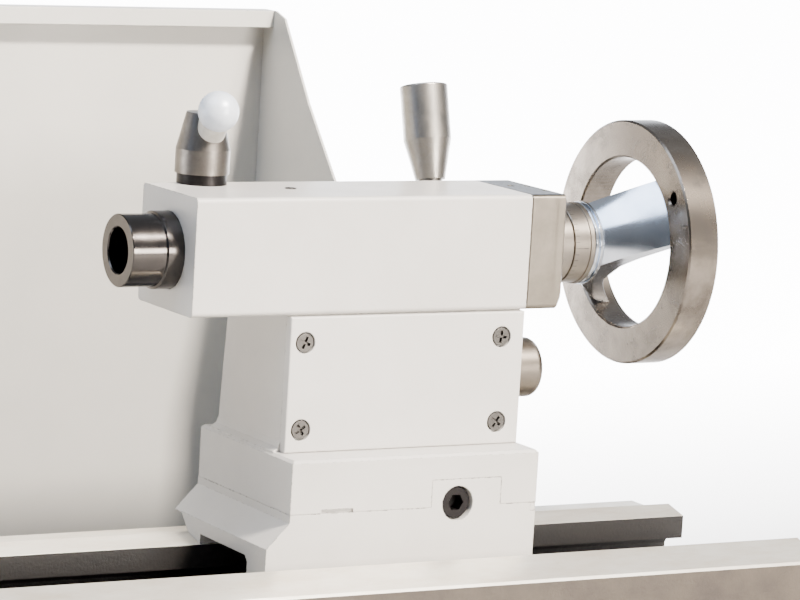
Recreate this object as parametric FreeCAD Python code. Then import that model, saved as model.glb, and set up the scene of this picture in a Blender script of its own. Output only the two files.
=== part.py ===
import FreeCAD, Part
import math
import os

# Tailstock end of a metal lathe. X runs along the bed towards the handwheel, Y away from the
# operator, Z up. Origin: underside of the chip tray, on the centre line, below the housing's nose.
# All sizes are in millimetres.

# ---- driving dimensions: bed, tray and guard
sheet = 2.0               # chip tray sheet
bed_height = 168.4        # bed foot to the front way's apex
swing_height = 153.6      # front way's apex to the quill axis
bed_left = -300.0
bed_right = 356.0         # front rail's end
rear_short = 13.0         # the rear rail ends this much sooner
rear_flat_short = 16.5    # and its flat this much sooner again
rail_front = -94.0        # operator's face of the front rail
apex_y = -70.3            # front way's apex
vee_y = -41.7             # centre of the tailstock's inner vee
vee_half = 8.0            # half width of that vee
vee_flat = 1.5            # half width of the flat on its crest
vee_drop = 16.4           # foot of the vee below the apex
rear_way_y = 21.3         # rear way's near edge
rear_way_width = 15.6
rear_flat_width = 12.6
gap_front = -30.0         # near side of the gap between the rails
web_front = (-62.0, -46.0)
web_rear = (38.0, 54.0)
web_foot = 12.0
bolt_hole_r = 6.75
tray_front = -190.0
tray_right = 385.0
tray_rim = 38.0
guard_sheet = 1.5
guard_y = 223.0           # near face of the guard's back panel
guard_top = 104.5         # guard's top above the quill axis
guard_lip = 9.5
guard_lip_depth = 12.0
cheek_x = 166.0           # near face of the guard's end panel
cheek_edge = [(13.0, 104.5), (24.7, 101.0), (58.6, 56.1), (114.8, -6.0)]  # ahead of guard_y, above the axis

# ---- driving dimensions: tailstock
housing_length = 197.0
housing_width = 62.4
housing_height = 61.0
edge_r = 2.5
parting_rise = 23.8       # base's top above the front way's apex
column_length = 139.5
column_front = -27.6
cover_sheet = 5.0
flange_half = 51.8
flange_height = 28.0
wall = 12.0
end_plate_length = 21.5
tongue_ends = (62.8, 21.1)  # the tongue's ends, ahead of the housing's rear end
tongue_height = 14.4
set_over_ahead = 47.0     # the set-over screw, ahead of the housing's rear end
set_over_travel = 6.0
lock_x = 30.0
lock_off = 5.0            # lock stud's line, clear of the quill's side
lock_boss_r = 14.0
lock_collar_r = 13.1
lock_hub_r = 14.2
lock_cone_r = 9.5         # the hub narrows to this at its top
lock_bar_r = 7.8
ball_r = 10.6
oiler_x = 70.0
oiler_y = 2.0
cam_in = 43.8             # cam, in from the column's left face
cam_drop = 67.1           # cam shaft below the quill axis
cam_throw = 2.0
cam_rest = math.radians(20)

# ---- driving dimensions: quill, feed screw and handwheel
quill_r = 20.0
quill_out = 28.0          # how far the quill stands out at rest
quill_short = 7.0         # the quill is this much shorter than the housing
nose_step = 1.3           # the quill's front end is turned down by this
nose_length = 18.5
taper_mouth_r = 11.9125   # Morse taper 3 at its gauge line
taper_slope = 0.0251
taper_depth = 86.0
screw_r = 9.0
screw_tip = 70.0
wheel_r = 66.3
rim_inner_r = 46.2
rim_thickness = 18.8
rim_gap = 56.5            # end plate to the rim's near face
hub_r = 22.6
core_r = 14.0             # hub between the spokes
spoke_root = (20.0, 18.0) # radius, and half width there
spoke_tip = (48.5, 19.0)
spoke_angle = math.radians(31)
handle_hole_angle = math.radians(33)
handle_hole_r = 3.4
handle_hole_ring = 54.8

# ---- driving dimensions: cam lever
cam_r = 11.0
boss_r = 16.0
boss_length = 23.0
boss_round = 4.0
lever_in = 8.7            # lever's line, in from the boss's left face
arm_r = 6.5
arm_elbow = (87.5, 0.0)   # Y, and height from the quill axis
grip_foot = (93.45, 22.2)
grip_top = (107.15, 73.3)
grip_r = 13.3
grip_foot_r = 8.3

# ---- clearances
running = 0.05            # radial, shafts and slides that fit
free = 0.5                # radial, loose holes
face = 0.1                # between faces that slide

# ---- levels
apex_z = sheet + bed_height
axis_z = apex_z + swing_height
parting_z = apex_z + parting_rise
vee_z = apex_z - vee_drop
front_ledge_z = apex_z - 30.0
rear_ledge_z = apex_z - 19.0
cam_z = axis_z - cam_drop
bottom_z = axis_z - housing_height / 2
top_z = axis_z + housing_height / 2
half_w = housing_width / 2
plate_right = housing_length + end_plate_length
wheel_x = plate_right + rim_gap
column_right = housing_length - 1.3
column_left = column_right - column_length
lock_y = quill_r + lock_off
cam_x = column_left + cam_in
hub_x = column_right + 2.6
lever_x = hub_x + lever_in
tongue_x = [housing_length - end for end in tongue_ends]
set_over_x = housing_length - set_over_ahead
quill_length = housing_length - quill_short
flange_right = housing_length + 0.9
flange_left = column_left - 5.0
floor_z = parting_z + flange_height
rear_end = bed_right - rear_short
dial_left = plate_right + 13.3
dial_right = dial_left + 12.7
rail_head_z = apex_z - 36.0

V = FreeCAD.Vector
X_AXIS = V(1, 0, 0)
Y_AXIS = V(0, 1, 0)
Z_AXIS = V(0, 0, 1)
os.makedirs("parts", exist_ok=True)


def box(x0, x1, y0, y1, z0, z1):
    return Part.makeBox(x1 - x0, y1 - y0, z1 - z0, V(x0, y0, z0))


def rod(axis, point, r, length):
    return Part.makeCylinder(r, length, V(*point), axis)


def prism_x(points, x0, x1):
    """A Y-Z outline drawn out along X."""
    wire = Part.makePolygon([V(x0, y, z) for y, z in points + points[:1]])
    return Part.Face(wire).extrude(V(x1 - x0, 0, 0))


def prism_y(points, y0, y1):
    """An X-Z outline drawn out along Y."""
    wire = Part.makePolygon([V(x, y0, z) for x, z in points + points[:1]])
    return Part.Face(wire).extrude(V(0, y1 - y0, 0))


def turned(points, y=0.0, z=None):
    """An outline of (x, radius) turned about an axis along X."""
    z = axis_z if z is None else z
    wire = Part.makePolygon([V(x, y, z + r) for x, r in points + points[:1]])
    return Part.Face(wire).revolve(V(0, y, z), X_AXIS, 360)


def between(p, q, r0, r1):
    """A round bar or cone from p to q."""
    a = V(*p)
    d = V(*q) - a
    if abs(r0 - r1) < 1e-6:
        return Part.makeCylinder(r0, d.Length, a, d)
    return Part.makeCone(r0, r1, d.Length, a, d)


def fuse(*shapes):
    return shapes[0].multiFuse(list(shapes[1:])).removeSplitter()


def cut(shape, *tools):
    return shape.cut(Part.makeCompound(list(tools))) if len(tools) > 1 else shape.cut(tools[0])


def save(name, shape):
    if isinstance(shape, list):
        shape = Part.makeCompound(shape)
    elif shape.ShapeType == "Compound" and len(shape.Solids) == 1:
        shape = shape.Solids[0]
    assert shape.isValid(), name
    shape.exportStep("parts/" + name + ".step")
    print(name, len(shape.Solids), "solid(s)", round(shape.Volume), "mm3")


def hexagon(axis_x, y, z, flats, length):
    r = flats / math.sqrt(3)
    points = [(y + r * math.cos(math.radians(60 * i)), z + r * math.sin(math.radians(60 * i)))
              for i in range(6)]
    return prism_x(points, axis_x, axis_x + length)


def round_edges(shape, r, wanted):
    edges = [e for e in shape.Edges if wanted(e)]
    return shape.makeFillet(r, edges) if edges else shape


def along(edge, axis):
    tangent = edge.tangentAt(edge.FirstParameter)
    return edge.Curve.TypeId == "Part::GeomLine" and abs(tangent.dot(axis)) > 0.999


# ---------------------------------------------------------------- bed
rear_top_z = apex_z - 2.6
rear_low_z = apex_z - 6.4
flat_start = rear_way_y + rear_way_width
flat_end = flat_start + rear_flat_width
front_rail = prism_x([
    (rail_front, rail_head_z), (rail_front, apex_z - 9.1), (rail_front + 1.4, apex_z - 7.7),
    (apex_y, apex_z), (apex_y + 10.5, apex_z - 10.5), (apex_y + 14.0, apex_z - 10.5),
    (vee_y - vee_half - 3.0, vee_z), (vee_y - vee_half, vee_z),
    (vee_y - vee_flat, vee_z + vee_half - vee_flat), (vee_y + vee_flat, vee_z + vee_half - vee_flat),
    (vee_y + vee_half, vee_z), (gap_front, vee_z), (gap_front, front_ledge_z),
    (web_front[1], front_ledge_z), (web_front[1], sheet + web_foot), (web_front[1] + 10, sheet + web_foot),
    (web_front[1] + 10, sheet), (web_front[0] - 12, sheet), (web_front[0] - 12, sheet + web_foot),
    (web_front[0], sheet + web_foot), (web_front[0], rail_head_z - 16)], bed_left, bed_right)
rear_rail = prism_x([
    (rear_way_y, rear_ledge_z), (rear_way_y, rear_low_z), (flat_start, rear_top_z),
    (flat_end, rear_top_z), (flat_end, apex_z - 9.5), (flat_end + 20, apex_z - 9.5),
    (flat_end + 20, apex_z - 24), (web_rear[1], apex_z - 34), (web_rear[1], sheet + web_foot),
    (web_rear[1] + 12, sheet + web_foot), (web_rear[1] + 12, sheet), (web_rear[0] - 10, sheet),
    (web_rear[0] - 10, sheet + web_foot), (web_rear[0], sheet + web_foot),
    (web_rear[0], rear_ledge_z - 6), (web_rear[0] - 4, rear_ledge_z)], bed_left, rear_end)
rear_notch = box(rear_end - rear_flat_short, rear_end + 1, flat_start, flat_end + 30,
                 apex_z - 9.5, apex_z)
rib_top = 85.0
ribs = [box(x, x + 14, web_front[1] - 1, web_rear[0] + 1, sheet, rib_top)
        for x in (bed_left + 10, 20.0, rear_end - 40)]
foot_pads = []
foot_holes = []
foot_y = (web_front[0] - 24, web_rear[1] + 24)
foot_x = (bed_left + 45, bed_right - 45)
for x in foot_x:
    foot_pads += [box(x - 28, x + 28, foot_y[0] - 16, web_front[0] + 1, sheet, sheet + web_foot + 4),
                  box(x - 28, x + 28, web_rear[1] - 1, foot_y[1] + 16, sheet, sheet + web_foot + 4)]
    foot_holes += [rod(Z_AXIS, (x, y, -1), bolt_hole_r, web_foot + sheet + 10) for y in foot_y]
rack_y = web_front[0]
rack_z = rail_head_z - 34.0
rack_screws_x = [bed_left + 40 + 130 * i for i in range(5)]
rack_holes = [rod(Y_AXIS, (x, rack_y - 0.1, rack_z), 3.0, 10.1) for x in rack_screws_x]
tray_screw_places = [(x + dx, y) for x in foot_x for dx in (-18, 18)
                     for y in (web_front[0] - 6, web_rear[1] + 6)]
tray_screw_holes = [rod(Z_AXIS, (x, y, sheet - 0.1), 3.0, 10.1) for x, y in tray_screw_places]
bed = fuse(front_rail, rear_rail.cut(rear_notch), *ribs, *foot_pads)
bed = cut(bed, *foot_holes, *rack_holes, *tray_screw_holes)
save("bed_casting", bed)

module = 1.5
pitch = math.pi * module
rack_left = bed_left + 5
tooth_count = int((bed_right - 10 - rack_left) / pitch)
outline = [(rack_left, rack_z + 9), (rack_left, rack_z - 5.6)]
for i in range(tooth_count):
    x = rack_left + i * pitch
    outline += [(x + 0.3 * pitch, rack_z - 5.6), (x + 0.42 * pitch, rack_z - 9),
                (x + 0.68 * pitch, rack_z - 9), (x + 0.8 * pitch, rack_z - 5.6)]
outline += [(rack_left + tooth_count * pitch, rack_z - 5.6),
            (rack_left + tooth_count * pitch, rack_z + 9)]
rack = prism_y(outline, rack_y - 16, rack_y)
rack_cuts = []
rack_bolts = []
for x in rack_screws_x:
    rack_cuts += [rod(Y_AXIS, (x, rack_y - 17, rack_z), 3.3, 18),
                  rod(Y_AXIS, (x, rack_y - 16.1, rack_z), 5.5, 6.6)]
    bolt = fuse(rod(Y_AXIS, (x, rack_y - 15.5, rack_z), 5.0, 6.0),
                rod(Y_AXIS, (x, rack_y - 10, rack_z), 3.0, 19))
    socket = prism_y([(x + 2.9 * math.cos(math.radians(60 * i)), rack_z + 2.9 * math.sin(math.radians(60 * i)))
                      for i in range(6)], rack_y - 16, rack_y - 12)
    rack_bolts.append(bolt.cut(socket))
save("feed_rack", cut(rack, *rack_cuts))
save("rack_screws", rack_bolts)

# chip tray: a folded pan with a hemmed rim
tray_back = guard_y + guard_sheet
hem = 6.0
pan = box(bed_left, tray_right, tray_front, tray_back + sheet, 0, tray_rim)
pan = pan.cut(box(bed_left - 1, tray_right - sheet, tray_front + sheet, tray_back, sheet, tray_rim + 1))
hem_ring = box(bed_left, tray_right, tray_front, tray_back + sheet, tray_rim - sheet, tray_rim).cut(
    box(bed_left - 1, tray_right - hem, tray_front + hem, tray_back, tray_rim - sheet - 1, tray_rim + 1))
guard_screws_x = [bed_left + 60 + 120 * i for i in range(4)]
guard_screws_z = 22.0
screw_r_small = 2.5
tray_cuts = [rod(Z_AXIS, (x, y, -1), bolt_hole_r, 6) for x in foot_x for y in foot_y]
tray_cuts += [Part.makeCone(5.6, 3.0, sheet, V(x, y, 0), Z_AXIS) for x, y in tray_screw_places]
tray_cuts += [rod(Y_AXIS, (x, tray_back - 1, guard_screws_z), screw_r_small, sheet + 2)
              for x in guard_screws_x]
save("chip_tray", cut(fuse(pan, hem_ring), *tray_cuts))
save("tray_screws", [fuse(Part.makeCone(5.5, 2.9, sheet, V(x, y, 0), Z_AXIS),
                          rod(Z_AXIS, (x, y, sheet), 2.9, 9)) for x, y in tray_screw_places])

# splash guard: back panel with a folded lip, and an end panel with a sloping front edge
guard_z = axis_z + guard_top
lip_y = guard_y - guard_lip_depth
back = prism_x([
    (tray_back, sheet), (tray_back, guard_z), (lip_y, guard_z), (lip_y, guard_z - guard_lip),
    (lip_y + guard_sheet, guard_z - guard_lip), (lip_y + guard_sheet, guard_z - guard_sheet),
    (guard_y, guard_z - guard_sheet), (guard_y, sheet)], bed_left, cheek_x)
back = cut(back, *[rod(Y_AXIS, (x, guard_y - 1, guard_screws_z), screw_r_small, 5)
                   for x in guard_screws_x])
save("splash_guard_back", back)
cheek_line = [(guard_y - ahead, axis_z + up) for ahead, up in cheek_edge]
cheek_outline = [(tray_back, sheet), (tray_back, guard_z)] + cheek_line + [(cheek_line[-1][0], sheet)]
cheek = prism_x(cheek_outline, cheek_x, cheek_x + guard_sheet)
cheek_flange = box(cheek_x - 16, cheek_x, guard_y - guard_sheet, guard_y, 20, 190)
save("splash_guard_end", fuse(cheek, cheek_flange))
save("guard_screws", [fuse(rod(Y_AXIS, (x, guard_y - 2.5, guard_screws_z), 4.5, 2.5),
                           rod(Y_AXIS, (x, guard_y, guard_screws_z), screw_r_small - 0.05, 8))
                      for x in guard_screws_x])

# ---------------------------------------------------------------- base
base_low = vee_z + 0.9
base_side = prism_y([(flange_left, parting_z - face), (flange_right, parting_z - face),
                     (flange_right, base_low), (column_left - 17.7, base_low),
                     (column_left - 17.7, parting_z - 17.2), (flange_left, parting_z - 4.2)],
                    -flange_half - 1, flange_half + 2)
recess_z = apex_z - 0.9
foot_in = rear_way_y + 0.5
foot_out = flat_start - 1.0
way_slope = (rear_top_z - rear_low_z) / rear_way_width
foot_z0 = rear_low_z + way_slope * (foot_in - rear_way_y) + face
foot_z1 = rear_low_z + way_slope * (foot_out - rear_way_y) + face
base_section = prism_x([
    (-flange_half, parting_z - face), (-flange_half, base_low), (-31.8, base_low),
    (-31.8, recess_z - 3), (-28.8, recess_z), (foot_in, recess_z), (foot_in, foot_z0),
    (foot_out, foot_z1), (foot_out + 8.7, foot_z1 + 8.7), (flange_half + 0.6, foot_z1 + 8.7),
    (flange_half + 0.6, parting_z - face)], column_left - 20, flange_right + 1)
tongue = box(tongue_x[0], tongue_x[1], -flange_half, flange_half, parting_z - 1, parting_z + tongue_height)
set_over_z = parting_z + 1.6
vee_gap = face * 1.5
vee_cut = prism_x([(vee_y - vee_half - 3, vee_z - 3 + vee_gap), (vee_y, vee_z + vee_half + vee_gap),
                   (vee_y + vee_half + 3, vee_z - 3 + vee_gap)], 0, housing_length + 20)
pocket_half = 24.0
bolt_r = 6.0
slot_half = bolt_r + free + set_over_travel + 2.0
base_cuts = [
    rod(Y_AXIS, (set_over_x, -flange_half - 1, set_over_z), 9.2, 15),
    rod(Y_AXIS, (set_over_x, -flange_half, set_over_z), 5.0 + running, flange_half + 22),
    box(set_over_x - 12, set_over_x + 12, -pocket_half, 20, parting_z - 14, parting_z + tongue_height + 1),
    box(cam_x - bolt_r - 1.5, cam_x + bolt_r + 1.5, 2 - slot_half, 2 + slot_half, recess_z - 1, parting_z),
    box(flange_right - 3.0, flange_right + 1, -flange_half - 1, -flange_half + 0.4,
        parting_z - 4.5, parting_z)]
base = cut(fuse(base_section.common(base_side), tongue), vee_cut, *base_cuts)
save("base_casting", base)

screw_head = fuse(rod(Y_AXIS, (set_over_x, -flange_half + 2, set_over_z), 8.0, 12),
                  rod(Y_AXIS, (set_over_x, -flange_half + 13, set_over_z), 5.0, flange_half + 3))
hex_socket = prism_y([(set_over_x + 4.6 * math.cos(math.radians(60 * i)),
                       set_over_z + 4.6 * math.sin(math.radians(60 * i))) for i in range(6)],
                     -flange_half + 1, -flange_half + 9)
save("set_over_screw", screw_head.cut(hex_socket))
ring = rod(Y_AXIS, (set_over_x, -pocket_half + face, set_over_z), 8.5, 3.5)
save("set_over_ring", ring.cut(rod(Y_AXIS, (set_over_x, -pocket_half, set_over_z), 5.0, 5)))

# ---------------------------------------------------------------- body
housing = box(0, housing_length, -half_w, half_w, bottom_z, top_z)
housing = round_edges(housing, edge_r, lambda e: along(e, X_AXIS))
lock_boss = rod(Z_AXIS, (lock_x, lock_y, bottom_z), lock_boss_r, housing_height)
lock_boss = round_edges(lock_boss, 2.0, lambda e: not along(e, Z_AXIS))
back_top = 36.9
back_foot = 42.7
column = prism_x([(column_front, floor_z - 1), (column_front, bottom_z + 1), (back_top, bottom_z + 1),
                  (back_foot, floor_z - 1)], column_left, column_right)
foot_r = 7.0
toe = prism_x([(column_front, floor_z - 0.5), (column_front, floor_z), (back_foot - 0.9, floor_z + foot_r),
               (back_foot + 1.2, floor_z + 2.6), (back_foot + foot_r, floor_z), (back_foot + foot_r, floor_z - 0.5)],
              column_left, column_right)
left_toe = prism_y([(column_left + 1, floor_z - 0.5), (column_left + 1, floor_z + 5.5), (column_left, floor_z + 5.5),
                    (column_left - 1.2, floor_z + 2.4), (column_left - 4, floor_z + 0.4),
                    (column_left - 4, floor_z - 0.5)], column_front, back_foot)
flange = box(flange_left, flange_right, -flange_half, flange_half, parting_z, floor_z)
flange = flange.makeChamfer(1.5, [e for e in flange.Edges if e.CenterOfMass.z > floor_z - 0.1])
cavity_top = bottom_z - 5.5
cavity_floor = floor_z + 5.0
window = box(column_left + wall, column_right - wall, column_front - 1, back_top - 9, cavity_floor, cavity_top)
tongue_slot = box(tongue_x[0] - face, tongue_x[1] + face, -flange_half - 1, flange_half + 1,
                  parting_z - 1, parting_z + tongue_height + face)
bush_r = 15.0
blind = 4.0                # wall left closed at the cam shaft's far end
quill_bore = rod(X_AXIS, (-1, 0, axis_z), quill_r + running, housing_length + 2)
cover_screw_x = (column_left + 8.8, column_right - 13.5)
cover_screw_z = (bottom_z - 13.9, bottom_z - 59.3)
cover_places = [(x, z) for x in cover_screw_x for z in cover_screw_z]
plate_places = [(y, axis_z + z) for y in (-22, 22) for z in (-21, 21)]
key_x = 60.0
lock_bore_r = 8.0
spigot_r = 6.0
body_cuts = [quill_bore, window, tongue_slot,
             rod(X_AXIS, (column_left + blind, 0, cam_z), bush_r, wall),
             rod(X_AXIS, (column_right - wall - 1, 0, cam_z), bush_r, wall + 2),
             rod(Z_AXIS, (cam_x, 0, parting_z - 1), bolt_r + 2.0, cavity_floor - parting_z + 2),
             rod(Z_AXIS, (set_over_x, 0, parting_z), spigot_r, cavity_floor - parting_z - 3),
             rod(Z_AXIS, (lock_x, lock_y, bottom_z - 1), lock_bore_r + running, housing_height + 2),
             rod(Y_AXIS, (key_x, 10, axis_z), 4.0, half_w),
             rod(Z_AXIS, (oiler_x, oiler_y, axis_z), 3.0, housing_height)]
body_cuts += [rod(Y_AXIS, (x, column_front - 1, z), 2.5, 12) for x, z in cover_places]
body_cuts += [rod(X_AXIS, (housing_length - 14, y, z), 3.0, 15) for y, z in plate_places]
body_cuts += [box(set_over_x + 34, flange_right + 1, -flange_half - 1, -flange_half + 0.6,
                  parting_z - 1, parting_z - 0.5),
              box(69.4, 87.8, -flange_half - 1, -flange_half + 1.2, parting_z - 1, parting_z + 1.9)]
body = cut(fuse(housing, lock_boss, column, toe, left_toe, flange), *body_cuts)
save("body_casting", body)

cover = box(column_left, column_right, column_front - cover_sheet, column_front, floor_z + face, bottom_z - 0.6)
cover = round_edges(cover, 0.8, lambda e: e.CenterOfMass.y < column_front - cover_sheet + 0.1)
cover_cuts = []
cover_screws = []
cross_half = 3.2
cross_turns = (22, 58, 8, 35)
for (x, z), turn in zip(cover_places, cross_turns):
    cover_cuts += [rod(Y_AXIS, (x, column_front - 6, z), 2.7, 8),
                   rod(Y_AXIS, (x, column_front - 6, z), 5.65, 4.4)]
    head_y = column_front - cover_sheet + 0.3
    screw = fuse(rod(Y_AXIS, (x, head_y, z), 4.8, 3.0), rod(Y_AXIS, (x, head_y + 2, z), 2.45, 13))
    cross = [box(x - cross_half, x + cross_half, head_y - 1, head_y + 1.8, z - 0.7, z + 0.7) for _ in "ab"]
    for bar, angle in zip(cross, (turn, turn + 90)):
        bar.rotate(V(x, head_y, z), Y_AXIS, angle)
    cover_screws.append(cut(screw, *cross))
save("cover_plate", cut(cover, *cover_cuts))
save("cover_screws", cover_screws)

nut_half = 9.0
nut = fuse(box(set_over_x - nut_half, set_over_x + nut_half, -nut_half, nut_half,
               parting_z - 10, parting_z + tongue_height + face),
           rod(Z_AXIS, (set_over_x, 0, parting_z + tongue_height), spigot_r,
               cavity_floor - parting_z - tongue_height - 3))
save("set_over_nut", nut.cut(rod(Y_AXIS, (set_over_x, -20, set_over_z), 5.0 + running, 40)))

for name, x0, length in (("cam_bush_left", column_left + blind, wall - blind),
                         ("cam_bush_right", column_right - wall, wall)):
    bush = rod(X_AXIS, (x0, 0, cam_z), bush_r, length)
    save(name, bush.cut(rod(X_AXIS, (x0 - 1, 0, cam_z), cam_r + running, length + 2)))

end_plate = box(housing_length, plate_right, -half_w, half_w, bottom_z, top_z)
end_plate = round_edges(end_plate, edge_r, lambda e: along(e, X_AXIS))
end_plate = end_plate.makeChamfer(0.8, [e for e in end_plate.Edges if not along(e, X_AXIS)])
collar_r = 15.0
thrust_r = 17.0
thrust_depth = 10.4
under_cut = prism_y([(plate_right + 1, bottom_z + 8.7), (plate_right, bottom_z + 8.7),
                     (plate_right - 3, bottom_z - 0.1), (plate_right + 1, bottom_z - 0.1)],
                    -half_w - 1, half_w + 1)
plate_cuts = [under_cut, rod(X_AXIS, (housing_length - 1, 0, axis_z), thrust_r, thrust_depth + 1),
              rod(X_AXIS, (housing_length, 0, axis_z), screw_r + running, end_plate_length + 1)]
plate_screws = []
for y, z in plate_places:
    head_x = plate_right - 10.0
    plate_cuts += [rod(X_AXIS, (housing_length - 1, y, z), 3.3, end_plate_length + 2),
                   rod(X_AXIS, (head_x, y, z), 5.5, 12)]
    shank = rod(X_AXIS, (housing_length - 12, y, z), 3.0, head_x - housing_length + 12.5)
    screw = fuse(rod(X_AXIS, (head_x, y, z), 5.0, 6), shank)
    plate_screws.append(screw.cut(hexagon(head_x + 3, y, z, 5.0, 4)))
top_screw_places = [(plate_right - 3.1, 4.8), (plate_right - 12.8, 5.8), (plate_right - 2.8, -13.6)]
plate_cuts += [rod(Z_AXIS, (x, y, top_z - 6), 2.0, 7) for x, y in top_screw_places]
save("end_plate", cut(end_plate, *plate_cuts))
save("end_plate_screws", plate_screws)
top_screws = []
for x, y in top_screw_places:
    screw = rod(Z_AXIS, (x, y, top_z - 6), 1.95, 5.6)
    top_screws.append(screw.cut(box(x - 0.4, x + 0.4, y - 2.2, y + 2.2, top_z - 1.4, top_z)))
save("end_plate_top_screws", top_screws)

index_right = dial_left - 0.2
save("index_ring", turned([(plate_right, screw_r + free), (plate_right, 20.3), (plate_right + 0.6, 20.9),
                           (index_right - 0.4, 20.9), (index_right, 20.5), (index_right, screw_r + free)]))
oiler = rod(Z_AXIS, (oiler_x, oiler_y, top_z - 7), 2.95, 7.4)
oiler_cup = Part.makeCone(1.2, 2.4, 1.2, V(oiler_x, oiler_y, top_z - 0.8), Z_AXIS)
oiler_ball = Part.makeSphere(1.25, V(oiler_x, oiler_y, top_z - 0.6))
save("oiler", fuse(oiler.cut(oiler_cup), oiler_ball))
groove_depth = 3.2
guide_key = fuse(rod(Y_AXIS, (key_x, quill_r + 0.3, axis_z), 3.95, half_w - quill_r - 0.8),
                 rod(Y_AXIS, (key_x, quill_r - groove_depth + 0.3, axis_z), 2.9, 4))
save("guide_key", guide_key.cut(box(key_x - 5, key_x + 5, half_w - 1.7, half_w, axis_z - 0.6, axis_z + 0.6)))

stud_r = 4.0
quill_clear = rod(X_AXIS, (-1, 0, axis_z), quill_r + running, housing_length)
cotter_length = 24.0
for name, z0, hole in (("lock_cotter_upper", top_z - cotter_length, stud_r + 0.2),
                       ("lock_cotter_lower", bottom_z, stud_r + running)):
    cotter = rod(Z_AXIS, (lock_x, lock_y, z0), lock_bore_r, cotter_length)
    save(name, cut(cotter, quill_clear, rod(Z_AXIS, (lock_x, lock_y, z0 - 1), hole, cotter_length + 2)))
collar_height = 5.4
collar = rod(Z_AXIS, (lock_x, lock_y, top_z), lock_collar_r, collar_height)
save("lock_collar", collar.cut(rod(Z_AXIS, (lock_x, lock_y, top_z - 1), stud_r + 0.2, 9)))

thrust_x = housing_length + 0.1
collar_x = housing_length + 3.4
for name, x0, x1 in (("thrust_washer_inner", thrust_x, collar_x - face),
                     ("thrust_washer_outer", collar_x + 3.6 + face, housing_length + thrust_depth)):
    save(name, turned([(x0, screw_r + 0.4), (x0, thrust_r), (x1, thrust_r), (x1, screw_r + 0.4)]))

# ---------------------------------------------------------------- quill
quill_left = -quill_out
quill_right = quill_left + quill_length
nose_end = quill_left + nose_length
nose_r = quill_r - nose_step
quill = turned([(quill_left, 0.0), (quill_left, nose_r - 0.4), (quill_left + 0.4, nose_r),
                (nose_end, nose_r), (nose_end + 0.6, quill_r),
                (quill_right - 1, quill_r), (quill_right, quill_r - 1), (quill_right, 0.0)])
small_r = taper_mouth_r - taper_slope * taper_depth
nut_r = quill_r - 7.0
nut_flange_r = quill_r - 0.6
nut_depth = 35.0
screw_room = 0.7
socket = Part.makeCone(taper_mouth_r, small_r, taper_depth, V(quill_left, 0, axis_z), X_AXIS)
mouth = Part.makeCone(taper_mouth_r + 0.5, taper_mouth_r, 0.6, V(quill_left, 0, axis_z), X_AXIS)
groove = box(36, 141, quill_r - groove_depth, quill_r + 1, axis_z - 3, axis_z + 3)
nut_screw_ring = quill_r - 3.6
nut_flange = 5.0
nut_places = [(nut_screw_ring * math.cos(a), axis_z + nut_screw_ring * math.sin(a))
              for a in (math.radians(30), math.radians(150), math.radians(270))]
quill_cuts = [socket, mouth,
              rod(X_AXIS, (quill_left + 40, 0, axis_z), small_r, quill_length - 40 - nut_depth + 1),
              rod(X_AXIS, (quill_left + taper_depth, 0, axis_z), screw_r + screw_room,
                  quill_length - taper_depth - nut_depth + 1),
              rod(X_AXIS, (quill_right - nut_depth, 0, axis_z), nut_r, nut_depth + 1), groove]
quill_cuts += [rod(X_AXIS, (quill_right - 12, y, z), 1.5, 13) for y, z in nut_places]
save("quill", cut(quill, *quill_cuts))
nut = turned([(quill_right - nut_depth, screw_r + running), (quill_right - nut_depth, nut_r),
              (quill_right, nut_r), (quill_right, nut_flange_r), (quill_right + nut_flange, nut_flange_r),
              (quill_right + nut_flange, screw_r + running)])
nut_holes = []
nut_screws = []
for y, z in nut_places:
    nut_holes += [rod(X_AXIS, (quill_right - 0.1, y, z), 1.6, 6), rod(X_AXIS, (quill_right + 2, y, z), 2.6, 4)]
    nut_screws.append(fuse(rod(X_AXIS, (quill_right + 2, y, z), 2.5, 2.6),
                           rod(X_AXIS, (quill_right - 10, y, z), 1.45, 12.5)))
save("quill_nut", cut(nut, *nut_holes))
save("quill_nut_screws", nut_screws)

# ---------------------------------------------------------------- handwheel
hub_left = dial_right + 0.2
cone_left = hub_left + 4.4
nut_seat = wheel_x - 11.0
thread_end = nut_seat + 12.0
save("feed_screw", turned([(screw_tip, 0), (screw_tip, screw_r - 1), (screw_tip + 1, screw_r),
                           (collar_x, screw_r), (collar_x, collar_r), (collar_x + 3.6, collar_r),
                           (collar_x + 3.6, screw_r), (nut_seat, screw_r), (nut_seat, 6), (thread_end - 1, 6),
                           (thread_end, 5), (thread_end, 0)]).cut(
    box(hub_left + 2, nut_seat + 1, -2, 2, axis_z + screw_r - 2.5, axis_z + screw_r + 1)))
bore = screw_r + 0.01
web_join = rim_inner_r + 1.0
hub_outline = [(dial_left, bore), (dial_left, 15.0), (hub_left, 15.0), (hub_left, hub_r - 1.0),
               (hub_left + 0.4, hub_r - 0.6), (hub_left + 1.7, hub_r - 0.6), (hub_left + 1.7, hub_r - 2.0),
               (hub_left + 2.5, hub_r - 2.0), (hub_left + 2.5, hub_r), (cone_left - 0.4, hub_r),
               (cone_left, hub_r - 0.4), (cone_left, hub_r - 2.6),
               (wheel_x + 6.0, web_join), (wheel_x + 13.0, web_join), (nut_seat, 20.0), (nut_seat, bore)]
hub = turned(hub_outline)
rim_right = wheel_x + rim_thickness
rim = turned([(wheel_x, web_join), (wheel_x + 1, rim_inner_r), (rim_right - 1, rim_inner_r),
              (rim_right, web_join), (rim_right, wheel_r - 1), (rim_right - 1, wheel_r), (wheel_x + 1, wheel_r),
              (wheel_x, wheel_r - 1)])
window_ring = turned([(cone_left, core_r), (cone_left, rim_inner_r), (rim_right + 1, rim_inner_r),
                      (rim_right + 1, core_r)])
taper = (spoke_tip[1] - spoke_root[1]) / (spoke_tip[0] - spoke_root[0])
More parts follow.
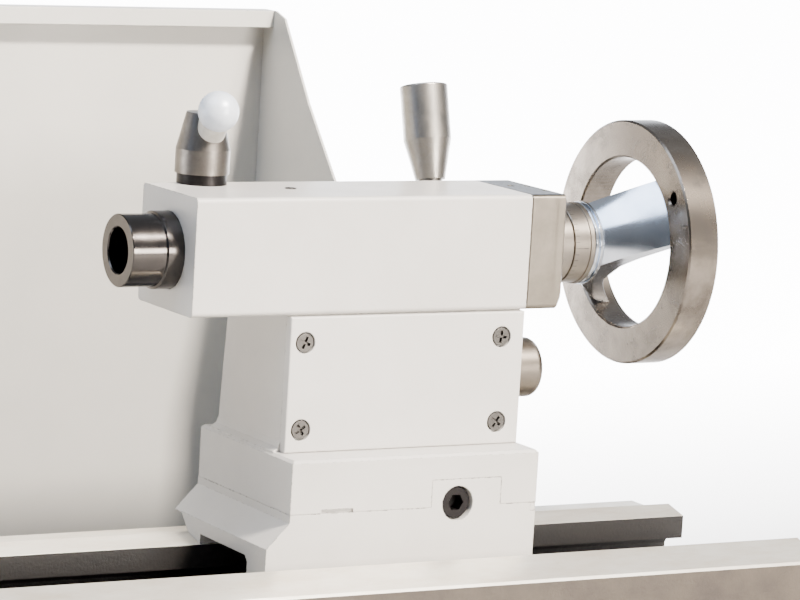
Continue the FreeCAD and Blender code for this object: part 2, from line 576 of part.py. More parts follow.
spoke_end = spoke_tip[1] + taper * (wheel_r - spoke_tip[0])
spoke = prism_x([(side * y, axis_z + side * h) for side in (1, -1) for y, h in (
    (wheel_r, -spoke_end), (wheel_r, spoke_end), (spoke_root[0], spoke_root[1]),
    (-spoke_root[0], spoke_root[1]))], cone_left - 1, rim_right + 2)
spoke.rotate(V(0, 0, axis_z), X_AXIS, -math.degrees(spoke_angle))
hole_y = -handle_hole_ring * math.cos(handle_hole_angle)
hole_z = axis_z + handle_hole_ring * math.sin(handle_hole_angle)
spring_groove = turned([(dial_left + 5.5, 13.4), (dial_left + 5.5, 15.5),
                        (dial_left + 8, 15.5), (dial_left + 8, 13.4)])
keyway = box(hub_left + 2, nut_seat + 1, -2, 2, axis_z, axis_z + screw_r + 1.6)
wheel = cut(fuse(hub.cut(window_ring.cut(spoke)), rim), spring_groove, keyway,
            rod(X_AXIS, (wheel_x - 1, hole_y, hole_z), handle_hole_r, 13),
            Part.makeCone(handle_hole_r + 1.0, handle_hole_r, 1.0, V(wheel_x, hole_y, hole_z), X_AXIS))
save("handwheel", wheel)
save("wheel_key", box(hub_left + 2, nut_seat, -2, 2, axis_z + screw_r - 2.5, axis_z + screw_r + 1.6))
save("wheel_washer", turned([(nut_seat, 6.2), (nut_seat, 13), (nut_seat + 2, 13), (nut_seat + 2, 6.2)]))
wheel_nut = hexagon(nut_seat + 2, 0, axis_z, 18.0, 8.5)
save("wheel_nut", wheel_nut.cut(rod(X_AXIS, (nut_seat, 0, axis_z), 6.02, 14)))
dial_r = 21.4
save("dial", turned([(dial_left, 15.0 + running), (dial_left, dial_r - 0.4), (dial_left + 0.4, dial_r),
                     (dial_right - 3.2, dial_r), (dial_right - 2.8, dial_r + 0.6), (dial_right - 0.4, dial_r + 0.6),
                     (dial_right, dial_r + 0.2), (dial_right, 15.0 + running)]))
spring = turned([(dial_left + 5.8, 13.6), (dial_left + 5.8, 14.9),
                 (dial_left + 7.7, 14.9), (dial_left + 7.7, 13.6)])
save("dial_spring", spring.cut(box(dial_left, dial_right, -4, 4, axis_z, axis_z + 20)))

# ---------------------------------------------------------------- quill lock lever
hub_z = top_z + collar_height + face
cone_z = top_z + 18.0
lock_top_z = top_z + 37.0
ball = (lock_x, 9.7, axis_z + 69.5)
lock_hub = fuse(rod(Z_AXIS, (lock_x, lock_y, hub_z), lock_hub_r, cone_z - hub_z),
                Part.makeCone(lock_hub_r, lock_cone_r, lock_top_z - cone_z, V(lock_x, lock_y, cone_z), Z_AXIS))
rod_foot = (lock_x, lock_y - 1.0, axis_z + 49.5)
lock_bar = between(rod_foot, ball, lock_bar_r, lock_bar_r)
stud_hole = rod(Z_AXIS, (lock_x, lock_y, hub_z - 1), stud_r, 9)
ball_solid = Part.makeSphere(ball_r, V(*ball))
save("lock_hub", cut(lock_hub, lock_bar, ball_solid, stud_hole))
save("lock_rod", lock_bar.cut(ball_solid))
save("lock_ball", ball_solid)
save("lock_stud", rod(Z_AXIS, (lock_x, lock_y, bottom_z + 2), stud_r, hub_z + 7 - bottom_z - 2))

# ---------------------------------------------------------------- cam lever
eye_y = cam_throw * math.cos(cam_rest)
eye_z = cam_z + cam_throw * math.sin(cam_rest)
eye_half = 7.0
cam_disc_r = cam_r - cam_throw - 0.1
shaft_left = column_left + blind + 0.5
shaft = fuse(rod(X_AXIS, (shaft_left, 0, cam_z), cam_r, cam_x - eye_half - 1 - shaft_left),
             rod(X_AXIS, (cam_x - eye_half - 1, eye_y, eye_z), cam_disc_r, 2 * eye_half + 2),
             rod(X_AXIS, (cam_x + eye_half + 1, 0, cam_z), cam_r, hub_x + boss_length - 5 - cam_x - eye_half - 1))
pin_x = hub_x + 5.0
boss_end = hub_x + boss_length
boss = turned([(hub_x, 0), (hub_x, boss_r), (boss_end, boss_r), (boss_end, 0)], 0, cam_z)
boss = round_edges(boss, boss_round,
                   lambda e: abs(e.CenterOfMass.x - boss_end) < 0.1 and e.Length > 9 * boss_round)
elbow = (lever_x, arm_elbow[0], axis_z + arm_elbow[1])
centre = (lever_x, 0, cam_z)
arm_line = V(*elbow) - V(*centre)
arm_start = V(*centre) + arm_line * (12.0 / arm_line.Length)
arm_bar = between(tuple(arm_start), elbow, arm_r, arm_r)
grip_a = (lever_x, grip_foot[0], axis_z + grip_foot[1])
grip_b = (lever_x, grip_top[0], axis_z + grip_top[1])
upper_bar = between(elbow, grip_a, arm_r, arm_r)
elbow_ball = Part.makeSphere(arm_r, V(*elbow))
shaft_hole = rod(X_AXIS, (hub_x - 1, 0, cam_z), cam_r, boss_length - 4)
pin = rod(Z_AXIS, (pin_x, 0, cam_z - boss_r + 0.5), 2.5, 2 * boss_r - 1)
save("cam_shaft", shaft.cut(pin).cut(arm_bar))
save("cam_hub", cut(boss, shaft_hole, arm_bar, pin))
save("hub_pin", pin.cut(arm_bar))
save("lever_arm", fuse(arm_bar, elbow_ball, upper_bar))
grip_line = V(*grip_b) - V(*grip_a)
waist = V(*grip_a) + grip_line * 0.42
grip = fuse(between(grip_a, tuple(waist), grip_foot_r, grip_r), between(tuple(waist), grip_b, grip_r, grip_r))
grip = round_edges(grip, 1.0, lambda e: abs(e.CenterOfMass.sub(V(*grip_b)).Length) < 0.5 and not e.Degenerated)
save("lever_grip", grip)

# ---------------------------------------------------------------- clamp
plate_top = front_ledge_z - 2 * face
clamp_thickness = 14.0
ring_r = 17.0
eye = fuse(rod(X_AXIS, (cam_x - eye_half, eye_y, eye_z), ring_r, 2 * eye_half),
           rod(Z_AXIS, (cam_x, eye_y, plate_top - clamp_thickness - 18), bolt_r,
               eye_z - plate_top + clamp_thickness + 4))
save("eye_bolt", eye.cut(rod(X_AXIS, (cam_x - eye_half - 1, eye_y, eye_z), cam_disc_r + free, 2 * eye_half + 2)))
clamp = fuse(box(cam_x - 30, cam_x + 30, web_front[1] + 8, web_rear[0] - 8,
                 plate_top - clamp_thickness, plate_top),
             box(cam_x - 30, cam_x + 30, rear_way_y + 1.0, rear_way_y + 6.2,
                 plate_top - 1, rear_ledge_z - 2 * face))
save("clamp_plate", clamp.cut(rod(Z_AXIS, (cam_x, eye_y, plate_top - 20), bolt_r + free, 30)))
washer = rod(Z_AXIS, (cam_x, eye_y, plate_top - clamp_thickness - 3), 12, 3)
save("clamp_washer", washer.cut(rod(Z_AXIS, (cam_x, eye_y, plate_top - 30), bolt_r + 0.3, 40)))
nut_points = [(cam_x + 10.4 * math.cos(math.radians(60 * i)), eye_y + 10.4 * math.sin(math.radians(60 * i)))
              for i in range(6)]
nut_z = plate_top - clamp_thickness - 3 - 10.5
nut_wire = Part.makePolygon([V(x, y, nut_z) for x, y in nut_points + nut_points[:1]])
clamp_nut = Part.Face(nut_wire).extrude(V(0, 0, 10.5))
save("clamp_nut", clamp_nut.cut(rod(Z_AXIS, (cam_x, eye_y, nut_z - 1), bolt_r + 0.01, 13)))
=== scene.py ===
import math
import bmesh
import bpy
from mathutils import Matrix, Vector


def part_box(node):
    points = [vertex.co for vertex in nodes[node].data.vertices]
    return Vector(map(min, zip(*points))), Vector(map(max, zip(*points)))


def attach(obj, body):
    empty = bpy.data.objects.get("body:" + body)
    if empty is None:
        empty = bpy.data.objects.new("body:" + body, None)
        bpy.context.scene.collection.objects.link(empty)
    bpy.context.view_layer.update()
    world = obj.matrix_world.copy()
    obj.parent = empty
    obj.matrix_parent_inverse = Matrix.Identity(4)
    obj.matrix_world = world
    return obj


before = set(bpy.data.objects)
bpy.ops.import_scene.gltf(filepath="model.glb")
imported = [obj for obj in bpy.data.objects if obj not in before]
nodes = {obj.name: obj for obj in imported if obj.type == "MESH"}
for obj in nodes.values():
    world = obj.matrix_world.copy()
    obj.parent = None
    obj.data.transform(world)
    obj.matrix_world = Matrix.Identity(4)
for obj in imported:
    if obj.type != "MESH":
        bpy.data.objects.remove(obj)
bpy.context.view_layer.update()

# %% [markdown]
# # The tailstock end of a small metal lathe
# The mechanical design arrives as a fixed frame of named solids. This lesson gives every one of
# them the surface that a machine shop or a paint booth would give it, and adds the marks that are
# engraved on the feed dial. Lengths are in metres, and `MM` turns millimetres into them.

MM = 0.001


def middle(node):
    low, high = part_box(node)
    return [(a + b) / 2 for a, b in zip(low, high)]


quill_low, quill_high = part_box("quill")
axis_z = (quill_low[2] + quill_high[2]) / 2
print("quill axis at", round(axis_z, 4), "m;", len(nodes), "nodes")

# %% [markdown]
# ## The camera
# A machine is shown best through a long lens from a few steps back, a little above and to the left,
# so that parallel edges stay nearly parallel. The camera is placed first because every later choice
# is judged through it. It is rolled by a few degrees, as a camera held in the hand is.

# %% Camera
LENS = 172.8
SENSOR_WIDTH = 36.0
CAMERA_PLACE = (-0.8658, -1.7324, axis_z + 0.2685)
CAMERA_TARGET = (0.1381, 0.0, axis_z - 0.0290)
CAMERA_ROLL = math.radians(3.43)


def aimed(place, target):
    """The frame of a lamp or camera that stands at `place` and looks at `target`."""
    turn = (Vector(target) - Vector(place)).normalized().to_track_quat("-Z", "Y")
    return Matrix.Translation(place) @ turn.to_matrix().to_4x4()


def put_in_scene(name, data):
    made = bpy.data.objects.new(name, data)
    bpy.context.collection.objects.link(made)
    return made


lens = bpy.data.cameras.new("camera")
lens.lens = LENS
lens.sensor_width = SENSOR_WIDTH
lens.clip_end = 200.0
camera = put_in_scene("camera", lens)
camera.matrix_world = aimed(CAMERA_PLACE, CAMERA_TARGET) @ Matrix.Rotation(CAMERA_ROLL, 4, "Z")
bpy.context.scene.camera = camera
print("camera", round((Vector(CAMERA_PLACE) - Vector(CAMERA_TARGET)).length, 2), "m from its target")

# %% [markdown]
# ## Two helpers for all node trees
# Colours are written as sRGB hex, the way a paint maker gives them, and Blender works in linear
# light, so one function converts them. A second one adds a node with its settings and links, which
# keeps every recipe below to a few lines.

# %% Colour and node helpers
def linear(hex_colour):
    """An sRGB hex colour as the linear numbers that Blender works in."""
    out = []
    for i in (0, 2, 4):
        c = int(hex_colour[i:i + 2], 16) / 255
        out.append(c / 12.92 if c <= 0.04045 else ((c + 0.055) / 1.055) ** 2.4)
    return (*out, 1.0)


def add(tree, kind, inputs=(), out=None, **settings):
    """Adds one node. Inputs are numbers, colours or sockets, in order or by name; `out` picks an output."""
    made = tree.nodes.new(kind)
    for key, value in settings.items():
        setattr(made, key, value)
    for key, value in inputs.items() if isinstance(inputs, dict) else enumerate(inputs):
        if isinstance(value, bpy.types.NodeSocket):
            tree.links.new(value, made.inputs[key])
        else:
            made.inputs[key].default_value = value
    return made if out is None else made.outputs[out]


# Numbers of the sockets that a Mix node uses for colours.
AMOUNT, FIRST, SECOND, MIXED = 0, 6, 7, 2
print("warm white is", [round(c, 3) for c in linear("FFF5EA")])

# %% [markdown]
# ## The studio
# The key lamp is small and stands high at the front right: it leaves the left faces in shade and
# makes the guard's end panel throw a slanted shadow to the left. A wider lamp at the front lifts the
# upright faces, and a large one above left is what the polished cone of the handwheel mirrors. A
# weak cool one on the left keeps the shaded faces from going black.

# %% Lamps
HEART = (0.12, 0.0, axis_z)
ABOVE_LEFT_TARGET = (0.2, 0.0, axis_z)


def soft_box(name, place, target, size, watts, colour):
    data = bpy.data.lights.new(name, "AREA")
    data.shape = "RECTANGLE"
    data.size, data.size_y = size
    data.energy = watts
    data.color = linear(colour)[:3]
    lamp = put_in_scene(name, data)
    lamp.matrix_world = aimed(place, target)


soft_box("key_light", (0.90, -1.90, axis_z + 2.20), HEART, (0.35, 0.35), 500, "FFF5EA")
soft_box("front_light", (0.9, -2.7, axis_z + 0.25), HEART, (0.8, 0.6), 100, "FFF6EC")
soft_box("ceiling_strip", (-0.85, -0.25, axis_z + 1.6), ABOVE_LEFT_TARGET, (1.3, 1.3), 30, "D9E8FF")
soft_box("left_fill", (-2.4, -0.1, 0.9), HEART, (0.8, 1.4), 3, "B8D2FF")
print(len(bpy.data.lights), "lamps")

# %% [markdown]
# ## The room and the paper
# Steel shows mostly what it reflects, so the room must have dark and bright zones: it is dim below
# and to the left, brighter above and to the right. Behind the object the low part of the room and
# the paper glow, as a lit studio sweep does, which keeps the surroundings pale.

# %% Room
world = bpy.data.worlds.new("studio_room")
bpy.context.scene.world = world
world.use_nodes = True
room = world.node_tree
room.nodes.clear()
way = add(room, "ShaderNodeSeparateXYZ", (add(room, "ShaderNodeTexCoord", out="Generated"),))
upper = add(room, "ShaderNodeMapRange", (way.outputs["Z"], -0.15, 0.65, 0.05, 0.55), out="Result")
right = add(room, "ShaderNodeMapRange", (way.outputs["X"], -0.9, 0.5, 0.45, 1.0), out="Result")
dim = add(room, "ShaderNodeMath", (upper, right), out=0, operation="MULTIPLY")
behind = add(room, "ShaderNodeMapRange", (way.outputs["Y"], 0.2, 0.6, 0.0, 4.0), out="Result")
low = add(room, "ShaderNodeMapRange", (way.outputs["Z"], 0.20, 0.34, 1.0, 0.0), out="Result")
sweep = add(room, "ShaderNodeMath", (behind, low), out=0, operation="MULTIPLY")
total = add(room, "ShaderNodeMath", (dim, sweep), out=0, operation="ADD")
shine = add(room, "ShaderNodeBackground", (linear("EAF0FA"), total), out="Background")
add(room, "ShaderNodeOutputWorld", {"Surface": shine})
print("room has", len(room.nodes), "nodes")

# %% [markdown]
# The floor is one large sheet of matt paper. Its own light starts a little way behind the object
# and grows with distance, so that the paper runs on into the glowing room behind it.

# %% Paper floor
FLOOR_HALF = 60.0
GLOW_STARTS, GLOW_FULL, GLOW = 0.35, 1.3, 14.0

sheet = bpy.data.meshes.new("floor")
corners = [(x * FLOOR_HALF, y * FLOOR_HALF, 0) for x, y in ((-1, -1), (1, -1), (1, 1), (-1, 1))]
sheet.from_pydata(corners, [], [(0, 1, 2, 3)])
paper = bpy.data.materials.new("floor_paper")
paper.use_nodes = True
shader = paper.node_tree.nodes["Principled BSDF"]
shader.inputs["Base Color"].default_value = linear("A8A8A8")
shader.inputs["Roughness"].default_value = 0.9
shader.inputs["Emission Color"].default_value = linear("FDFDFF")
spot = add(paper.node_tree, "ShaderNodeTexCoord", out="Object")
spot = add(paper.node_tree, "ShaderNodeSeparateXYZ", (spot,), out="Y")
glow = add(paper.node_tree, "ShaderNodeMapRange", (spot, GLOW_STARTS, GLOW_FULL, 0.0, GLOW), out="Result")
paper.node_tree.links.new(glow, shader.inputs["Emission Strength"])
sheet.materials.append(paper)
floor = put_in_scene("floor", sheet)
print("floor is", 2 * FLOOR_HALF, "m wide")

# %% [markdown]
# ## Materials
# Each one starts from the real stuff. All patterns are measured in the object's own metres, so a
# noise of size 2 mm has scale 1 / 0.002. `begin` opens a material, `patches` draws stains of a real
# size, `finish_bump` turns a height into a bump of a real depth, and `worn_edges` finds the corners
# that get knocked.

# %% Helpers for materials
def begin(name, **shader_values):
    material = bpy.data.materials.new(name)
    material.use_nodes = True
    tree = material.node_tree
    shader = tree.nodes["Principled BSDF"]
    for key, value in shader_values.items():
        shader.inputs[key.replace("_", " ")].default_value = value
    return material, tree, shader, add(tree, "ShaderNodeTexCoord", out="Object")


def patches(tree, place, size, detail, rough, span, levels):
    """Stains about `size` metres across, with the noise's `span` drawn out to `levels`."""
    blobs = {"Vector": place, "Scale": 1 / size, "Detail": detail, "Roughness": rough}
    noise = add(tree, "ShaderNodeTexNoise", blobs, out="Fac")
    return add(tree, "ShaderNodeMapRange", (noise, *span, *levels), out="Result")


def finish_bump(tree, shader, heights, depth, round_edge=0.0):
    """Bump of `depth` metres, over edges softened by a radius of `round_edge` metres."""
    bump = add(tree, "ShaderNodeBump", {"Height": heights, "Distance": depth, "Strength": 1.0})
    if round_edge:
        soft = add(tree, "ShaderNodeBevel", {"Radius": round_edge}, out="Normal", samples=4)
        tree.links.new(soft, bump.inputs["Normal"])
    tree.links.new(bump.outputs["Normal"], shader.inputs["Normal"])


def worn_edges(tree, radius, sharpness):
    """1 on corners that stand out or fold in within `radius`, 0 on open faces."""
    soft = add(tree, "ShaderNodeBevel", {"Radius": radius}, out="Normal", samples=4)
    true = add(tree, "ShaderNodeNewGeometry", out="Normal")
    match = add(tree, "ShaderNodeVectorMath", (soft, true), out="Value", operation="DOT_PRODUCT")
    return add(tree, "ShaderNodeMapRange", (match, 1.0 - 1.0 / sharpness, 1.0, 1.0, 0.0), out="Result")


print("helpers ready")

# %% [markdown]
# ### Machine enamel
# Castings and covers on a lathe are filled, rubbed down and sprayed with a two-pack enamel in a
# light warm grey. The eye gets a satin gloss, a very fine orange peel, a slow cloudiness from the
# filler beneath, and small chips on edges where parts are fitted together.

# %% Enamel
CHIP_COLOUR = "4A4642"


def enamel(name, colour, shade, chips, peel=2.2 * MM):
    material, tree, shader, place = begin(name, Metallic=0.0, Roughness=0.34, IOR=1.5,
                                          Coat_Weight=0.15, Coat_Roughness=0.12)
    cloud = patches(tree, place, 70 * MM, 4.0, 0.6, (0.35, 0.65), (0.0, 1.0))
    paint = add(tree, "ShaderNodeMix", {AMOUNT: cloud, FIRST: linear(colour), SECOND: linear(shade)},
                out=MIXED, data_type="RGBA")
    edges = worn_edges(tree, 0.9 * MM, 5.0)
    spots = patches(tree, place, 3.2 * MM, 5.0, 0.65, (0.60 - chips, 0.66 - chips), (0.0, 1.0))
    worn = add(tree, "ShaderNodeMath", (edges, spots), out=0, operation="MULTIPLY", use_clamp=True)
    chipped = add(tree, "ShaderNodeMix", {AMOUNT: worn, FIRST: paint, SECOND: linear(CHIP_COLOUR)},
                  out=MIXED, data_type="RGBA")
    tree.links.new(chipped, shader.inputs["Base Color"])
    gloss = patches(tree, place, 24 * MM, 4.0, 0.6, (0.3, 0.7), (0.30, 0.42))
    tree.links.new(gloss, shader.inputs["Roughness"])
    dimples = {"Vector": place, "Scale": 1 / peel, "Detail": 2.0, "Roughness": 0.4}
    skin = add(tree, "ShaderNodeTexNoise", dimples, out="Fac")
    finish_bump(tree, shader, skin, 0.05 * MM, 0.7 * MM)
    return material


casting_enamel = enamel("enamel_warm_grey", "BDBAB5", "B5B2AD", 0.10)
cover_enamel = enamel("enamel_cover_plate", "C1BEB9", "BAB7B2", 0.02)
guard_enamel = enamel("enamel_guard_cream", "BFBCB5", "B9B7B0", 0.0, 3.0 * MM)
tray_enamel = enamel("enamel_tray_grey", "5C5D5F", "545557", 0.05, 3.0 * MM)
print("4 enamels")

# %% [markdown]
# ### Ground, turned and satin steel
# Steel is always fully metallic with the default index; what differs is the tool's last pass.
# A lathe leaves rings about the turning axis, a surface grinder leaves straight fine lines, and a
# blasted and plated lever is even and satin. The real lines are a few hundredths of a millimetre
# apart, too fine to show, so they are drawn 0.3 to 0.5 mm apart.

# %% Lathe rings
def from_axis(tree, place, centre):
    """Place along X, and distance from a line along X, of a turned part about `centre`."""
    shift = add(tree, "ShaderNodeVectorMath", (place, centre), out="Vector", operation="SUBTRACT")
    parts = add(tree, "ShaderNodeSeparateXYZ", (shift,))
    across = {"Y": parts.outputs["Y"], "Z": parts.outputs["Z"]}
    flat = add(tree, "ShaderNodeCombineXYZ", across, out="Vector")
    return parts.outputs["X"], add(tree, "ShaderNodeVectorMath", (flat,), out="Value", operation="LENGTH")


def tool_rings(tree, along, radius, spacing):
    """Rings that a lathe tool leaves, on faces and cylinders alike."""
    both = add(tree, "ShaderNodeMath", (along, radius), out=0, operation="ADD")
    line = add(tree, "ShaderNodeCombineXYZ", {"X": both}, out="Vector")
    rings = {"Vector": line, "Scale": 1 / spacing, "Detail": 2.0, "Roughness": 0.6}
    return add(tree, "ShaderNodeTexNoise", rings, out="Fac")


print("rings follow the axis at", round(axis_z, 4), "m")

# %% [markdown]
# Two recipes follow: one for what came off a lathe, with rings about its axis, and one for small
# parts that were blasted or plated, which have no direction.

# %% Steel recipes
def turned_steel(name, colour, dark, roughness, centre, ring=0.4 * MM, depth=0.004 * MM):
    """Rings about an axis along X through `centre`, with soft staining."""
    material, tree, shader, place = begin(name, Metallic=1.0, Roughness=roughness)
    rings = tool_rings(tree, *from_axis(tree, place, centre), ring)
    cloud = patches(tree, place, 16 * MM, 5.0, 0.6, (0.35, 0.7), (0.0, 0.5))
    tone = add(tree, "ShaderNodeMix", {AMOUNT: cloud, FIRST: linear(colour), SECOND: linear(dark)},
               out=MIXED, data_type="RGBA")
    tree.links.new(tone, shader.inputs["Base Color"])
    stain = patches(tree, place, 16 * MM, 5.0, 0.6, (0.3, 0.7), (roughness - 0.06, roughness + 0.06))
    ridge = add(tree, "ShaderNodeMapRange", (rings, 0.3, 0.7, -0.05, 0.05), out="Result")
    rough = add(tree, "ShaderNodeMath", (stain, ridge), out=0, operation="ADD")
    tree.links.new(rough, shader.inputs["Roughness"])
    finish_bump(tree, shader, rings, depth, 0.3 * MM)
    return material


def satin_steel(name, colour, dark, roughness, pit=0.5 * MM, depth=0.01 * MM):
    """Plated or blasted: an even, very fine texture with faint handling marks."""
    material, tree, shader, place = begin(name, Metallic=1.0, Roughness=roughness)
    marks = patches(tree, place, 9 * MM, 5.0, 0.65, (0.3, 0.7), (0.0, 0.7))
    tone = add(tree, "ShaderNodeMix", {AMOUNT: marks, FIRST: linear(colour), SECOND: linear(dark)},
               out=MIXED, data_type="RGBA")
    tree.links.new(tone, shader.inputs["Base Color"])
    gloss = patches(tree, place, 9 * MM, 5.0, 0.65, (0.3, 0.7), (roughness - 0.07, roughness + 0.07))
    tree.links.new(gloss, shader.inputs["Roughness"])
    grit = {"Vector": place, "Scale": 1 / pit, "Detail": 2.0, "Roughness": 0.5}
    pits = add(tree, "ShaderNodeTexNoise", grit, out="Fac")
    finish_bump(tree, shader, pits, depth, 0.35 * MM)
    return material


print("2 steel recipes")

# %% [markdown]
# The recipes are now given the colour, gloss and axis of each real finish: the quill is ground and
# darkest, the dial is nickel plated, and the boss of the clamp lever is turned and left bare.

# %% Steels and bronze
on_axis = (0.0, 0.0, axis_z)
on_cam_axis = (0.0, 0.0, middle("cam_hub")[2])
quill_steel = turned_steel("ground_quill_steel", "55514E", "3A3736", 0.17, on_axis, 0.3 * MM, 0.001 * MM)
dial_nickel = turned_steel("satin_dial_nickel", "8F887F", "746C63", 0.34, on_axis)
boss_steel = turned_steel("turned_boss_steel", "827A70", "655D53", 0.36, on_cam_axis)
lever_nickel = satin_steel("dark_satin_nickel", "7C7771", "5F5A54", 0.36)
grip_steel = satin_steel("satin_grip_steel", "A09C96", "837E77", 0.36)
zinc_plate = satin_steel("zinc_plated_screw", "6E6B67", "4C4946", 0.3)
plain_steel = satin_steel("machined_steel", "9F9C98", "7A7672", 0.38)
black_oxide = satin_steel("black_oxide_steel", "2E2C2C", "1C1B1B", 0.42)
bearing_bronze = satin_steel("bearing_bronze", "B58A4C", "8C6735", 0.34)
bare_iron = satin_steel("machined_grey_iron", "6E6A66", "4E4A47", 0.5)
print("10 turned and satin metals")

# %% [markdown]
# ### The end plate
# It was surface ground on its sides and left black from the mill on top, so the direction that a
# face points in chooses between the two.

# %% Ground end plate
# Lines per metre along X, Y and Z: real ones are finer, these are as coarse as it takes to show.
GRIND_SCALE = (700.0, 2400.0, 8.0)


def ground_plate_steel():
    material, tree, shader, place = begin("ground_plate_steel", Metallic=1.0, Roughness=0.34)
    drawn = add(tree, "ShaderNodeVectorMath", (place, GRIND_SCALE), out="Vector", operation="MULTIPLY")
    lines = add(tree, "ShaderNodeTexNoise", {"Vector": drawn, "Scale": 1.0, "Detail": 3.0}, out="Fac")
    cloud = patches(tree, place, 22 * MM, 5.0, 0.65, (0.35, 0.7), (0.0, 0.8))
    tone = add(tree, "ShaderNodeMix", {AMOUNT: cloud, FIRST: linear("8A8378"), SECOND: linear("716A60")},
               out=MIXED, data_type="RGBA")
    up = add(tree, "ShaderNodeNewGeometry", out="True Normal")
    up = add(tree, "ShaderNodeSeparateXYZ", (up,), out="Z")
    black = add(tree, "ShaderNodeMapRange", (up, 0.85, 0.95, 0.0, 0.9), out="Result")
    both = add(tree, "ShaderNodeMix", {AMOUNT: black, FIRST: tone, SECOND: linear("24211F")},
               out=MIXED, data_type="RGBA")
    tree.links.new(both, shader.inputs["Base Color"])
    gloss = add(tree, "ShaderNodeMapRange", (lines, 0.3, 0.7, 0.28, 0.42), out="Result")
    tree.links.new(gloss, shader.inputs["Roughness"])
    finish_bump(tree, shader, lines, 0.004 * MM, 0.4 * MM)
    return material


plate_steel = ground_plate_steel()
print("end plate finish has", len(plate_steel.node_tree.nodes), "nodes")

# %% [markdown]
# ### The handwheel
# The handwheel is one casting, but only its dished arms and hub rings are polished; the rim keeps
# a browner, duller turned finish. Distance from the quill axis tells the two apart.

# %% Handwheel
RIM_FROM, RIM_FULL = 45.6 * MM, 46.2 * MM


def handwheel_steel():
    material, tree, shader, place = begin("turned_and_polished_wheel", Metallic=1.0, Roughness=0.2)
    along, radius = from_axis(tree, place, on_axis)
    rim = add(tree, "ShaderNodeMapRange", (radius, RIM_FROM, RIM_FULL, 0.0, 1.0), out="Result")
    stain = patches(tree, place, 14 * MM, 5.0, 0.62, (0.35, 0.65), (0.0, 1.0))
    polished = add(tree, "ShaderNodeMix",
                   {AMOUNT: stain, FIRST: linear("F1F6FF"), SECOND: linear("DDE6F2")},
                   out=MIXED, data_type="RGBA")
    turned = add(tree, "ShaderNodeMix", {AMOUNT: stain, FIRST: linear("8E857B"), SECOND: linear("6A6259")},
                 out=MIXED, data_type="RGBA")
    tone = add(tree, "ShaderNodeMix", {AMOUNT: rim, FIRST: polished, SECOND: turned},
               out=MIXED, data_type="RGBA")
    tree.links.new(tone, shader.inputs["Base Color"])
    level = add(tree, "ShaderNodeMapRange", (rim, 0.0, 1.0, 0.16, 0.24), out="Result")
    cloud = patches(tree, place, 14 * MM, 5.0, 0.62, (0.3, 0.7), (-0.04, 0.07))
    dull = add(tree, "ShaderNodeMath", (level, cloud), out=0, operation="ADD")
    tree.links.new(dull, shader.inputs["Roughness"])
    finish_bump(tree, shader, tool_rings(tree, along, radius, 0.5 * MM), 0.004 * MM, 0.3 * MM)
    return material


wheel_steel = handwheel_steel()
print("wheel finish has", len(wheel_steel.node_tree.nodes), "nodes")

# %% [markdown]
# ### The lock ball and rod, with a painted reflection
# The ball and rod of the lock lever are pale satin metal. Their colours are partly their own and
# partly a painted reflection of the white studio light, so the recipe is only slightly metallic. The
# dark ink that fills the marks of the feed dial is a satin paint, so one recipe makes all three.

# %% Painted reflection on the lock ball and rod, and engraving ink
COAT_GRAIN = 0.6 * MM


def satin_coat(name, colour, shade):
    material, tree, shader, place = begin(name, Metallic=0.15, Roughness=0.36, IOR=1.5)
    cloud = patches(tree, place, 6 * MM, 4.0, 0.6, (0.3, 0.7), (0.0, 1.0))
    tone = add(tree, "ShaderNodeMix", {AMOUNT: cloud, FIRST: linear(colour), SECOND: linear(shade)},
               out=MIXED, data_type="RGBA")
    tree.links.new(tone, shader.inputs["Base Color"])
    gloss = add(tree, "ShaderNodeMapRange", (cloud, 0.0, 1.0, 0.32, 0.42), out="Result")
    tree.links.new(gloss, shader.inputs["Roughness"])
    grain_noise = {"Vector": place, "Scale": 1 / COAT_GRAIN, "Detail": 2.0, "Roughness": 0.5}
    skin = add(tree, "ShaderNodeTexNoise", grain_noise, out="Fac")
    finish_bump(tree, shader, skin, 0.01 * MM)
    return material


# Pale bluish white: the ball's and rod's own pale colour plus a painted reflection of the white studio
# light.
ball_coat_painted_reflection = satin_coat("pale_ball_painted_reflection", "D5DBE3", "C6CDD7")
rod_coat_painted_reflection = satin_coat("pale_rod_painted_reflection", "BDBAB3", "A9A59D")
mark_ink = satin_coat("dark_engraving", "1D1B1A", "2A2725")
print("3 coats")

# %% [markdown]
# ### Cast iron with ground ways
# The bed is one iron casting: its sides are near black, its front rail is milled grey, and only
# the faces that carry something are ground bright. Which is which follows from the direction a
# face points in and from its height, so one material can hold all three.

# %% Bed iron
bed_low, bed_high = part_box("bed_casting")
GROUND_ABOVE = bed_high[2] - 24 * MM
MILLED_ABOVE = bed_high[2] - 46 * MM
MILLED_BEFORE = bed_low[1] + 32 * MM
# Oil spreads along the bed, so its stains are drawn out in X and flattened in Z.
OIL_STRETCH = (0.35, 1.0, 1.6)
SAND_GRAIN = 1.6 * MM


